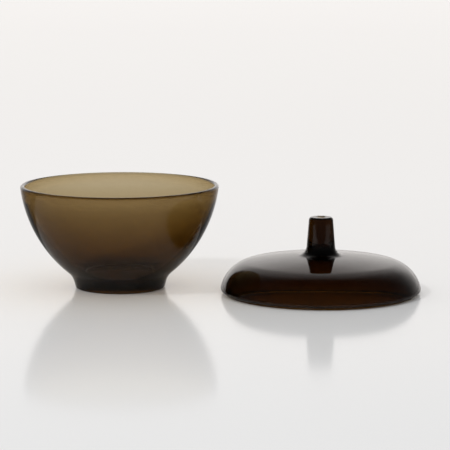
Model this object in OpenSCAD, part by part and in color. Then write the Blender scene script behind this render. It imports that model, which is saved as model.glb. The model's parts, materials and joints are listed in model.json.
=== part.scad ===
// A footed glass bowl and its domed lid, which lies right way up beside it.
// Both are solids of revolution: a section is drawn in the half plane x = radius, y = height.
// The origin is the middle of the bowl's foot, on the surface that both pieces stand on.

/* [Bowl] */
// Diameter over the rim
rim_d = 130; // [110:1:160]
// Height from the foot to the top of the lip
bowl_h = 68; // [56:0.5:84]
// Thickness of the rounded lip
lip_t = 3; // [2.4:0.1:3.6]
// Thickness of the wall at the lip, if it didn't swell into the lip
wall_t = 2; // [1.5:0.1:2.3]
// Radius inside where the wall swells into the lip
lip_blend_r = 25; // [10:1:40]
// Radius of the curve that the outside of the wall follows
wall_curve_r = 86.5; // [78:0.5:110]
// How far the inside curve is centred above the outside one, which thickens the wall downwards
wall_gain = 5.2; // [2:0.1:7]
// Glass between the floor inside and the recess under the foot
floor_t = 5; // [3.5:0.5:8]
// Radius between the floor and the wall inside
floor_blend_r = 14; // [6:1:20]

/* [Foot] */
// Diameter of the foot where it meets the curve of the wall
foot_d = 62.8; // [50:0.2:76]
// Height of that line above the table
foot_h = 8; // [6:0.5:10]
// Lean of the foot's side from upright, inwards going down
foot_draft = 15; // [5:1:20]
// Radius of the hollow between the foot and the wall
cove_r = 12; // [6:0.5:15]
// Radius of the foot's edges
foot_edge_r = 1.2; // [0.6:0.1:1.6]
// Width of the flat ring that touches the table
foot_land = 2.6; // [1.5:0.1:4]
// Depth of the recess under the foot
recess_h = 2.5; // [2:0.1:4.5]
// Radius in the corner of the recess, at most what its side has room for
recess_blend_r = 1; // [0.2:0.1:2.5]

/* [Lid] */
// How far the lid's edge reaches past the bowl's rim when the lid is on
lid_overhang = 0; // [-0.6:0.1:3]
// Height of the dome, as if it had no knob
dome_h = 25.2; // [20:0.2:32]
// Thickness of the dome
lid_t = 6.5; // [4:0.1:7]
// Radius of the lid's outer edge
lid_edge_r = 2.2; // [1.5:0.1:2.6]
// Radius of the dome's shoulder
shoulder_r = 22.3; // [16:0.1:26]
// Radius of the shoulder inside
hollow_r = 21; // [16:0.1:30]
// Radius of the dome's shallow crown
crown_r = 260; // [200:5:400]
// Drop of the ring under the lid that enters the bowl's mouth
ring_h = 1.2; // [0.8:0.1:1.8]
// Thickness of that ring
ring_t = 3.4; // [1.2:0.1:4]
// Radius of that ring's lower edges
ring_edge_r = 0.4; // [0.2:0.1:0.6]
// Gap all round between that ring and the mouth
ring_clearance = 0.3; // [0.2:0.05:1]

/* [Knob] */
// Height from the ring under the lid to the top of the knob
lid_h = 49.8; // [44:0.1:62]
// Diameter of the knob at its top, before its edge is rounded
knob_d = 15.4; // [12:0.1:20]
// Lean of the knob's side from upright, outwards going down
knob_draft = 4.5; // [1:0.5:8]
// Radius of the knob's top edge
knob_edge_r = 1.8; // [0.8:0.1:2.4]
// Radius of the flare between the knob and the dome
flare_r = 6.5; // [3:0.5:9]
// Depth of the dimple in the knob's top
dimple_depth = 2.4; // [1:0.1:2.8]
// Radius of the ball that the dimple is the print of
dimple_ball_r = 3; // [2.9:0.1:4]
// Radius of the dimple's edge
dimple_edge_r = 0.5; // [0.2:0.1:0.6]

/* [Resting place of the lid] */
// Gap between the rim and the lid's edge, seen from above
lid_gap = 3.2; // [1:0.2:60]
// Direction from the bowl to the lid, from the x axis towards the y axis
lid_bearing = -9.8; // [-180:0.2:180]

/* [Hidden] */

smoked_glass = [0.34, 0.26, 0.17];
// Farthest that the straight steps of an arc lie from the arc itself
arc_sag = 0.01;
revolve_steps = 180;

// A point at this distance and direction from another
function polar(centre, radius, angle) = centre + radius * [cos(angle), sin(angle)];

// Direction from one point to another
function bearing(from, to) = atan2(to.y - from.y, to.x - from.x);

// Points along an arc, both ends included
function arc(centre, radius, start, end) =
    let (step = 2 * acos(1 - arc_sag / radius), steps = max(2, ceil(abs(end - start) / step)))
    [for (i = [0:steps]) polar(centre, radius, start + (end - start) * i / steps)];

// The point at distance ra from a and rb from b that lies left of the way from a to b
function meet(a, ra, b, rb) =
    let (d = norm(b - a), along = (d * d + ra * ra - rb * rb) / (2 * d))
    polar(a, ra, bearing(a, b) + acos(along / ra));

// Centre of the fillet of radius r outside the circle (c, cr) and beside the line through p along
// u. The fillet is on the side of the line that n points to; way is the end of the line it sits at.
function fillet_centre(p, u, n, c, cr, r, way) =
    let (w = p + r * n - c, wu = w * u)
    p + r * n + (way * sqrt(wu * wu - w * w + (cr + r) * (cr + r)) - wu) * u;

// Bowl: the lip, the two curves that run down from it, and the inside one's swell into the lip
rim_r = rim_d / 2;
lip_r = lip_t / 2;
mouth_r = rim_r - lip_t;
lip_c = [rim_r - lip_r, bowl_h - lip_r];
foot_top = [foot_d / 2, foot_h];
wall_c = meet(foot_top, wall_curve_r, lip_c, wall_curve_r - lip_r);
inside_c = wall_c + [0, wall_gain];
inside_r = norm(lip_c - inside_c) + lip_r - wall_t;
lip_blend_c = meet(lip_c, lip_r + lip_blend_r, inside_c, inside_r - lip_blend_r);

// Bowl: floor inside
floor_z = recess_h + floor_t;
floor_blend_z = floor_z + floor_blend_r;
floor_drop = inside_c.y - floor_blend_z;
floor_blend_c = [
    inside_c.x + sqrt(pow(inside_r - floor_blend_r, 2) - floor_drop * floor_drop),
    floor_blend_z
];

// Bowl: foot. Its side is the line through foot_top that leans by foot_draft.
foot_up = [sin(foot_draft), cos(foot_draft)];
foot_out = [cos(foot_draft), -sin(foot_draft)];
cove_c = fillet_centre(foot_top, foot_up, foot_out, wall_c, wall_curve_r, cove_r, -1);
foot_side_x = foot_top.x - (foot_h - foot_edge_r) * tan(foot_draft);
land_out_r = foot_side_x - foot_edge_r / cos(foot_draft);
land_in_r = land_out_r - foot_land;
recess_r = land_in_r - foot_edge_r;
recess_corner_r = min(recess_blend_r, recess_h - foot_edge_r - 0.1);

// Lid: its edge, shoulder and crown are three arcs that touch
lid_r = rim_r + lid_overhang;
ring_r = mouth_r - ring_clearance;
edge_c = [lid_r - lid_edge_r, ring_h + lid_edge_r];
crown_c = [0, dome_h - crown_r];
shoulder_c = meet(crown_c, crown_r - shoulder_r, edge_c, shoulder_r - lid_edge_r);
crown_end = bearing(crown_c, shoulder_c);

// Lid: the hollow's shoulder touches the crown inside and runs down to the ring's inner corner
ring_in = [ring_r - ring_t, ring_h];
hollow_c = meet(crown_c, crown_r - lid_t - hollow_r, ring_in, hollow_r);

// Lid: knob. Its side is the line through knob_top that leans by knob_draft.
knob_top = [knob_d / 2, lid_h];
knob_up = [-sin(knob_draft), cos(knob_draft)];
knob_out = [cos(knob_draft), sin(knob_draft)];
flare_c = fillet_centre(knob_top, knob_up, knob_out, crown_c, crown_r, flare_r, 1);
knob_edge_c = [
    knob_top.x + knob_edge_r * tan(knob_draft) - knob_edge_r / cos(knob_draft),
    lid_h - knob_edge_r
];
dimple_c = [0, lid_h - dimple_depth + dimple_ball_r];
dimple_lift = dimple_c.y - lid_h + dimple_edge_r;
dimple_edge_c = [
    sqrt(pow(dimple_ball_r + dimple_edge_r, 2) - dimple_lift * dimple_lift),
    lid_h - dimple_edge_r
];
dimple_turn = bearing(dimple_c, dimple_edge_c);

lid_place = polar([0, 0], rim_r + lid_gap + lid_r, lid_bearing);

module bowl_section() {
    recess_c = [recess_r - recess_corner_r, recess_h - recess_corner_r];
    swell = bearing(lip_blend_c, lip_c);
    polygon(concat(
        [[0, recess_h]],
        arc(recess_c, recess_corner_r, 90, 0),
        arc([land_in_r, foot_edge_r], foot_edge_r, 180, 270),
        arc([land_out_r, foot_edge_r], foot_edge_r, -90, -foot_draft),
        arc(cove_c, cove_r, 180 - foot_draft, bearing(cove_c, wall_c)),
        arc(wall_c, wall_curve_r, bearing(wall_c, cove_c), bearing(wall_c, lip_c)),
        arc(lip_c, lip_r, bearing(wall_c, lip_c), 180 + swell),
        arc(lip_blend_c, lip_blend_r, swell, bearing(inside_c, lip_blend_c)),
        arc(inside_c, inside_r, bearing(inside_c, lip_blend_c), bearing(inside_c, floor_blend_c)),
        arc(floor_blend_c, floor_blend_r, bearing(inside_c, floor_blend_c), -90),
        [[0, floor_z]]
    ));
}

module lid_section() {
    edge_turn = bearing(shoulder_c, edge_c);
    hollow_turn = bearing(crown_c, hollow_c);
    polygon(concat(
        arc(crown_c, crown_r - lid_t, 90, hollow_turn),
        arc(hollow_c, hollow_r, hollow_turn, bearing(hollow_c, ring_in)),
        arc([ring_in.x + ring_edge_r, ring_edge_r], ring_edge_r, 180, 270),
        arc([ring_r - ring_edge_r, ring_edge_r], ring_edge_r, -90, 0),
        [[ring_r, ring_h]],
        arc(edge_c, lid_edge_r, -90, edge_turn),
        arc(shoulder_c, shoulder_r, edge_turn, crown_end),
        arc(crown_c, crown_r, crown_end, bearing(crown_c, flare_c)),
        arc(flare_c, flare_r, bearing(flare_c, crown_c), -180 + knob_draft),
        arc(knob_edge_c, knob_edge_r, knob_draft, 90),
        arc(dimple_edge_c, dimple_edge_r, 90, 180 + dimple_turn),
        arc(dimple_c, dimple_ball_r, dimple_turn, -90)
    ));
}

module bowl() {
    color(smoked_glass)
        rotate_extrude($fn = revolve_steps)
            bowl_section();
}

module lid() {
    color(smoked_glass)
        translate([lid_place.x, lid_place.y, 0])
            rotate_extrude($fn = revolve_steps)
                lid_section();
}

bowl();
lid();
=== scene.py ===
"""A bowl of smoked glass and its domed lid, on a glossy pale table in a dark studio with a pale backdrop."""

import json
import math

import bmesh
import bpy
from mathutils import Euler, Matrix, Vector


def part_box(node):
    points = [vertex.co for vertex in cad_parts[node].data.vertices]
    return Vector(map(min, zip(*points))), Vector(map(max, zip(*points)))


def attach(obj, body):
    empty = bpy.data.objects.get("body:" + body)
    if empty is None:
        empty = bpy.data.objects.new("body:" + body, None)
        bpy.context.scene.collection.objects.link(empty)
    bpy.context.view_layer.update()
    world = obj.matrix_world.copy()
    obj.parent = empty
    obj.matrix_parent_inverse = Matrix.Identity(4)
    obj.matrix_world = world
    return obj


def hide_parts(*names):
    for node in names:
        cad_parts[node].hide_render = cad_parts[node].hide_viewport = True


MM = 0.001
WHITE = (1, 1, 1, 1)
QUARTER_TURN = 90
HALF_TURN = 180

# A Mix node names its number and colour sockets alike, so its colour ones are found by their places
MIX_AMOUNT = 0
MIX_FROM = 6
MIX_TO = 7
MIX_RESULT = 2

# Camera: seen from the front and a little above, with a long lens
CAMERA_PLACE = (69.1 * MM, -1495.3 * MM, 267.2 * MM)
CAMERA_PITCH = 8.6
LENS = 184.0
SENSOR = 36.0
CLIP_START = 50 * MM
CLIP_END = 50.0

# Glass: its refraction, and how much red, green and blue it takes out per metre
GLASS_IOR = 1.52
SMOKE_PER_M = (268.0, 350.0, 545.0)

# Glass surface: uneven polish, mould waviness, and fine scratches where the foot, ring and rim touch things
POLISH = (0.006, 0.022)
POLISH_DETAIL = 4
POLISH_NOISE = (0.3, 0.7)
WAVE_SCALE = 38.0
WAVE_DETAIL = 1
WAVE_DEPTH = 0.12 * MM
SCRATCH_SCALE = 1400.0
SCRATCH_DETAIL = 3
SCRATCH_NOISE = (0.45, 0.7)
SCRATCH_ROUGHNESS = 0.09
WORN_HEIGHT = 0.7 * MM

# Lathe
TURN_STEPS = 360
SAME_PLACE = 0.002 * MM

# Studio: what the camera sees past the table
PALE = 0.845

# Backdrop, as the glass sees it: (degrees, level) by height, and by how far to either side of straight behind
BACKDROP_BY_HEIGHT = (
    (0, 1), (15, 1), (21, 0.85), (26, 0.64), (31, 0.47), (45, 0.43), (60, 0.3), (68, 0.16), (73, 0.02)
)
BACKDROP_BY_SIDE = ((0, 1), (20, 1), (28, 0.7), (36, 0.4), (45, 0.25), (55, 0.1), (65, 0.05), (100, 0.05))
ROOM_LEVEL = 0.016
# Warm tint of mirrored rays: it tints the world's mirrored light, and is painted into the table's reflection
MIRRORED_TINT = (1.0, 0.96, 0.93)

# A low band all round, which is seen through the glass only, and its top in degrees
ALL_ROUND_LEVEL = 0.676
ALL_ROUND_TOP = 10.0

# Light from all round that falls on the table, past the glass and through it
SOFT_LIGHT = 0.75
SOFT_LIGHT_THROUGH_GLASS = 3.6

# Table tones: its own, a darker painted reflection that the glass mirrors, and past y = 55 mm a painted
# reflection of the backdrop that the glass mirrors in place of the table, as (degrees, tone) to either
# side of straight behind
TABLE_GREY = 0.86
PAINTED_REFLECTION_GREY = 0.36
PAINTED_BACKDROP_FROM_Y = 55 * MM
PAINTED_BACKDROP_TONE_BY_SIDE = ((0, 0.4), (15, 0.37), (29, 0.22), (37, 0.1), (44, 0.03), (90, 0.03))

# Table top: its gloss fades towards the front, over y from GLOSSY_FROM to MATTE_FROM
TABLE_ROUGHNESS = 0.11
TABLE_IOR = 1.34
TABLE_HALF = 6.0
GLOSSY_FROM = -80 * MM
MATTE_FROM = -560 * MM
LEAST_GLOSS = 0.05

# Key lamp: its direction from straight behind towards +x, and its elevation, in degrees
KEY_TURN = -130.0
KEY_RISE = 42.0
KEY_AWAY = 5.0
KEY_ACROSS = 0.7
KEY_POWER = 60.0

# Light paths
GLASS_BOUNCES = 32
MIRROR_BOUNCES = 16
DIFFUSE_BOUNCES = 4


# Small helpers


def new_material(name):
    """A material with an empty node tree and its output node."""
    material = bpy.data.materials.new(name)
    material.use_nodes = True
    material.node_tree.nodes.clear()
    return material, material.node_tree, material.node_tree.nodes.new("ShaderNodeOutputMaterial")


def add(tree, kind, **inputs):
    """A new node with its input sockets set by name, underscores for spaces."""
    node = tree.nodes.new(kind)
    for name, value in inputs.items():
        node.inputs[name.replace("_", " ")].default_value = value
    return node


def math_node(tree, operation, a, b=None, clamp=False):
    """A Math node on a socket and a socket or number."""
    node = tree.nodes.new("ShaderNodeMath")
    node.operation = operation
    node.use_clamp = clamp
    for socket, value in zip(node.inputs, (a, b)):
        if isinstance(value, bpy.types.NodeSocket):
            tree.links.new(value, socket)
        elif value is not None:
            socket.default_value = value
    return node.outputs[0]


def ramp(tree, value, span, stops):
    """A smooth curve through (place, level) stops, for places from 0 to span."""
    node = tree.nodes.new("ShaderNodeValToRGB")
    node.color_ramp.interpolation = "B_SPLINE"
    while len(node.color_ramp.elements) < len(stops):
        node.color_ramp.elements.new(1.0)
    for element, (place, level) in zip(node.color_ramp.elements, stops):
        element.position = place / span
        element.color = (level, level, level, 1)
    tree.links.new(math_node(tree, "DIVIDE", value, span), node.inputs["Fac"])
    return node.outputs["Color"]


def to_either_side(tree, split):
    """How far a direction is from straight behind, in degrees to either side."""
    turn = math_node(tree, "ARCTAN2", split.outputs["X"], split.outputs["Y"])
    return math_node(tree, "DEGREES", math_node(tree, "ABSOLUTE", turn))


def tinted(tree, amount):
    """White, or the warm tint of mirrored rays where amount is 1.

    On the world it tints mirrored light; on the table it is part of a painted reflection.
    """
    mix = tree.nodes.new("ShaderNodeMix")
    mix.data_type = "RGBA"
    white = mix.inputs[MIX_FROM]
    warm = mix.inputs[MIX_TO]
    white.default_value = WHITE
    warm.default_value = (*MIRRORED_TINT, 1)
    tree.links.new(amount, mix.inputs[MIX_AMOUNT])
    return mix.outputs[MIX_RESULT]


def mirrored(tree):
    """1 for a reflected ray and 0 for any other. Cycles calls a transmitted ray glossy too."""
    rays = tree.nodes.new("ShaderNodeLightPath")
    transmitted = rays.outputs["Is Transmission Ray"]
    return math_node(tree, "SUBTRACT", rays.outputs["Is Glossy Ray"], transmitted, clamp=True)


# Pieces


def outline(node, axis):
    """The section of a turned CAD node: (radius, height) points from the axis round to the axis again."""
    bm = bmesh.new()
    bm.from_mesh(frame["nodes"][node].data)
    for vert in bm.verts:
        vert.co = (math.hypot(vert.co.x - axis.x, vert.co.y - axis.y), 0, vert.co.z)
    bmesh.ops.remove_doubles(bm, verts=bm.verts, dist=SAME_PLACE)
    here = next(vert for vert in bm.verts if len(vert.link_edges) == 1)
    seen, points = set(), []
    while here:
        seen.add(here)
        points.append((here.co.x, here.co.z))
        nexts = [edge.other_vert(here) for edge in here.link_edges]
        here = next((vert for vert in nexts if vert not in seen), None)
    bm.free()
    return points


def lathe(name, points, axis):
    """A closed mesh turned from an outline that starts and ends at the axis."""
    rings = [point for point in points if point[0] > SAME_PLACE]
    bm = bmesh.new()
    turned = []
    for radius, height in rings:
        ring = []
        for step in range(TURN_STEPS):
            angle = 2 * math.pi * step / TURN_STEPS
            place = (axis.x + radius * math.cos(angle), axis.y + radius * math.sin(angle), height)
            ring.append(bm.verts.new(place))
        turned.append(ring)
    for inner, outer in zip(turned, turned[1:]):
        for step in range(TURN_STEPS):
            after = (step + 1) % TURN_STEPS
            bm.faces.new((inner[step], inner[after], outer[after], outer[step]))
    for ring, end in ((turned[0], points[0]), (turned[-1], points[-1])):
        tip = bm.verts.new((axis.x, axis.y, end[1]))
        for step in range(TURN_STEPS):
            bm.faces.new((ring[step], ring[(step + 1) % TURN_STEPS], tip))
    bmesh.ops.recalc_face_normals(bm, faces=bm.faces)
    mesh = bpy.data.meshes.new(name)
    bm.to_mesh(mesh)
    bm.free()
    mesh.shade_smooth()
    piece = bpy.data.objects.new(name, mesh)
    bpy.context.scene.collection.objects.link(piece)
    return piece


def noise(tree, place, scale, detail):
    """A noise pattern, 0 to 1, fixed to the piece."""
    pattern = add(tree, "ShaderNodeTexNoise", Scale=scale, Detail=detail)
    tree.links.new(place, pattern.inputs["Vector"])
    return pattern.outputs["Fac"]


def between(tree, value, low, high, out_low=0.0, out_high=1.0):
    """A smooth step that takes value from low to high into out_low to out_high."""
    span = add(tree, "ShaderNodeMapRange", From_Min=low, From_Max=high, To_Min=out_low, To_Max=out_high)
    span.interpolation_type = "SMOOTHSTEP"
    tree.links.new(value, span.inputs["Value"])
    return span.outputs["Result"]


def smoked_glass(rim_height):
    """Pressed glass, tinted through its thickness, wavy from the mould and worn where it is set down."""
    material, tree, output = new_material("smoked_glass")
    place = tree.nodes.new("ShaderNodeTexCoord").outputs["Object"]
    split = tree.nodes.new("ShaderNodeSeparateXYZ")
    tree.links.new(place, split.inputs[0])
    height = split.outputs["Z"]
    at_foot = between(tree, height, WORN_HEIGHT, 0)
    at_rim = between(tree, height, rim_height - WORN_HEIGHT, rim_height)
    scratch_noise = noise(tree, place, SCRATCH_SCALE, SCRATCH_DETAIL)
    scratches = between(tree, scratch_noise, *SCRATCH_NOISE, 0, SCRATCH_ROUGHNESS)
    worn = math_node(tree, "MULTIPLY", math_node(tree, "MAXIMUM", at_foot, at_rim), scratches)
    polish_noise = noise(tree, place, WAVE_SCALE, POLISH_DETAIL)
    polish = between(tree, polish_noise, *POLISH_NOISE, *POLISH)
    wave = add(tree, "ShaderNodeBump", Distance=WAVE_DEPTH)
    tree.links.new(noise(tree, place, WAVE_SCALE, WAVE_DETAIL), wave.inputs["Height"])
    glass = add(tree, "ShaderNodeBsdfPrincipled", Base_Color=WHITE, IOR=GLASS_IOR, Transmission_Weight=1)
    tree.links.new(math_node(tree, "ADD", polish, worn), glass.inputs["Roughness"])
    tree.links.new(wave.outputs["Normal"], glass.inputs["Normal"])
    density = max(SMOKE_PER_M)
    tint = tuple(1 - each / density for each in SMOKE_PER_M)
    smoke = add(tree, "ShaderNodeVolumeAbsorption", Color=(*tint, 1), Density=density)
    tree.links.new(glass.outputs["BSDF"], output.inputs["Surface"])
    tree.links.new(smoke.outputs["Volume"], output.inputs["Volume"])
    return material


# Studio


def table_material():
    """Pale laminate, duller towards the front.

    In the glass its colour is a painted reflection: darker and warmer, and past y = 55 mm a painted
    backdrop tone by side, though the table itself goes on.
    """
    material, tree, output = new_material("pale_table")
    where = tree.nodes.new("ShaderNodeNewGeometry")
    split = tree.nodes.new("ShaderNodeSeparateXYZ")
    tree.links.new(where.outputs["Position"], split.inputs[0])
    side = to_either_side(tree, split)
    # Past this line, mirrored rays get a painted backdrop tone instead of the table's grey: a painted
    # reflection
    past = math_node(tree, "GREATER_THAN", split.outputs["Y"], PAINTED_BACKDROP_FROM_Y)
    far = math_node(tree, "SUBTRACT", ramp(tree, side, HALF_TURN, PAINTED_BACKDROP_TONE_BY_SIDE), PAINTED_REFLECTION_GREY)
    painted_reflection_tone = math_node(tree, "ADD", math_node(tree, "MULTIPLY", past, far), PAINTED_REFLECTION_GREY)
    darker = math_node(tree, "SUBTRACT", painted_reflection_tone, TABLE_GREY)
    # For mirrored rays the table's grey is painted darker and warm-tinted: a painted reflection
    in_mirror = mirrored(tree)
    grey = math_node(tree, "ADD", math_node(tree, "MULTIPLY", in_mirror, darker), TABLE_GREY)
    colour = tree.nodes.new("ShaderNodeVectorMath")
    colour.operation = "SCALE"
    tree.links.new(tinted(tree, in_mirror), colour.inputs[0])
    tree.links.new(grey, colour.inputs["Scale"])
    top = add(tree, "ShaderNodeBsdfPrincipled", Roughness=TABLE_ROUGHNESS, IOR=TABLE_IOR)
    tree.links.new(colour.outputs[0], top.inputs["Base Color"])
    matte = tree.nodes.new("ShaderNodeBsdfDiffuse")
    tree.links.new(colour.outputs[0], matte.inputs["Color"])
    mix = tree.nodes.new("ShaderNodeMixShader")
    gloss = between(tree, split.outputs["Y"], MATTE_FROM, GLOSSY_FROM, LEAST_GLOSS, 1)
    for source, socket in ((gloss, 0), (matte.outputs["BSDF"], 1), (top.outputs["BSDF"], 2)):
        tree.links.new(source, mix.inputs[socket])
    tree.links.new(mix.outputs[0], output.inputs["Surface"])
    return material


def build_table():
    """The plain floor that the pieces stand on."""
    bm = bmesh.new()
    bmesh.ops.create_grid(bm, x_segments=1, y_segments=1, size=TABLE_HALF)
    mesh = bpy.data.meshes.new("table")
    bm.to_mesh(mesh)
    bm.free()
    table = bpy.data.objects.new("table", mesh)
    table.data.materials.append(table_material())
    bpy.context.scene.collection.objects.link(table)


def build_world():
    """A pale backdrop that fades upwards and sideways into a dark room, and soft light on the table.

    The camera, mirrored rays, rays through the glass and rays that light the table each see their own level.
    """
    world = bpy.data.worlds.new("studio")
    bpy.context.scene.world = world
    world.use_nodes = True
    world.cycles.sampling_method = "NONE"
    tree = world.node_tree
    tree.nodes.clear()
    where = tree.nodes.new("ShaderNodeTexCoord")
    split = tree.nodes.new("ShaderNodeSeparateXYZ")
    tree.links.new(where.outputs["Generated"], split.inputs[0])
    rise = math_node(tree, "DEGREES", math_node(tree, "ARCSINE", split.outputs["Z"]))
    side = to_either_side(tree, split)
    by_height = ramp(tree, rise, QUARTER_TURN, BACKDROP_BY_HEIGHT)
    by_side = ramp(tree, side, HALF_TURN, BACKDROP_BY_SIDE)
    backdrop = math_node(tree, "ADD", math_node(tree, "MULTIPLY", by_height, by_side), ROOM_LEVEL)
    low_stops = ((0, ALL_ROUND_LEVEL), (ALL_ROUND_TOP / 2, ALL_ROUND_LEVEL), (ALL_ROUND_TOP, 0))
    low = ramp(tree, rise, QUARTER_TURN, low_stops)
    through = math_node(tree, "MAXIMUM", backdrop, low)
    rays = tree.nodes.new("ShaderNodeLightPath")
    transmitted = rays.outputs["Is Transmission Ray"]
    lighting = math_node(tree, "GREATER_THAN", rays.outputs["Diffuse Depth"], 0)
    looking = math_node(tree, "SUBTRACT", 1, lighting)
    in_mirror = math_node(tree, "MULTIPLY", mirrored(tree), looking)
    behind_glass = math_node(tree, "MULTIPLY", transmitted, looking)
    more = SOFT_LIGHT_THROUGH_GLASS - SOFT_LIGHT
    soft = math_node(tree, "ADD", math_node(tree, "MULTIPLY", transmitted, more), SOFT_LIGHT)
    total = math_node(tree, "MULTIPLY", rays.outputs["Is Camera Ray"], PALE)
    for kind, level in ((in_mirror, backdrop), (behind_glass, through), (lighting, soft)):
        total = math_node(tree, "ADD", total, math_node(tree, "MULTIPLY", kind, level))
    background = tree.nodes.new("ShaderNodeBackground")
    tree.links.new(tinted(tree, in_mirror), background.inputs["Color"])
    tree.links.new(total, background.inputs["Strength"])
    output = tree.nodes.new("ShaderNodeOutputWorld")
    tree.links.new(background.outputs[0], output.inputs["Surface"])


def build_key_lamp():
    """A lamp in front, on the left, that casts the shadows. It is not seen in the glass or through it."""
    light = bpy.data.lights.new("key_lamp", "AREA")
    light.shape = "DISK"
    light.size = KEY_ACROSS
    light.energy = KEY_POWER
    towards = Vector((0, 1, 0))
    towards.rotate(Euler((math.radians(KEY_RISE), 0, math.radians(-KEY_TURN))))
    lamp = bpy.data.objects.new("key_lamp", light)
    lamp.location = towards * KEY_AWAY
    lamp.rotation_euler = (-towards).to_track_quat("-Z", "Y").to_euler()
    lamp.visible_glossy = False
    lamp.visible_transmission = False
    bpy.context.scene.collection.objects.link(lamp)


def build_camera():
    """The camera at the photograph's viewing angle."""
    camera = bpy.data.cameras.new("camera")
    camera.lens = LENS
    camera.sensor_width = SENSOR
    camera.clip_start = CLIP_START
    camera.clip_end = CLIP_END
    seen_from = bpy.data.objects.new("camera", camera)
    seen_from.location = CAMERA_PLACE
    seen_from.rotation_euler = Euler((math.radians(QUARTER_TURN - CAMERA_PITCH), 0, 0))
    bpy.context.scene.collection.objects.link(seen_from)
    bpy.context.scene.camera = seen_from


def set_up_render():
    """Plain colour, and enough bounces for light to pass through both walls of both pieces."""
    scene = bpy.context.scene
    scene.view_settings.view_transform = "Standard"
    scene.cycles.max_bounces = GLASS_BOUNCES
    scene.cycles.transmission_bounces = GLASS_BOUNCES
    scene.cycles.glossy_bounces = MIRROR_BOUNCES
    scene.cycles.diffuse_bounces = DIFFUSE_BOUNCES


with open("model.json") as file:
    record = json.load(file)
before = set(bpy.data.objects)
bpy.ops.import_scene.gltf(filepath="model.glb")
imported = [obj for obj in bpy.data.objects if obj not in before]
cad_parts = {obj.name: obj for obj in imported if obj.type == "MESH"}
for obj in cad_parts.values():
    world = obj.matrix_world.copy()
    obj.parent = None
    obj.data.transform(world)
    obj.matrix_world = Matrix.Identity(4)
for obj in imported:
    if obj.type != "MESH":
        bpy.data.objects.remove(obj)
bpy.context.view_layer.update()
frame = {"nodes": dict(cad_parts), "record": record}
build_camera()
glass_material = smoked_glass(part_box("bowl")[1][2])
mounts = {mount["name"]: Vector(mount["pos_m"]) for mount in frame["record"]["mounts"]}
for node, mount in (("bowl", "bowl_foot"), ("lid", "lid_ring")):
    piece = lathe(node + "_glass", outline(node, mounts[mount]), mounts[mount])
    piece.data.materials.append(glass_material)
    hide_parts(node)
    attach(piece, node)
build_table()
build_world()
build_key_lamp()
set_up_render()
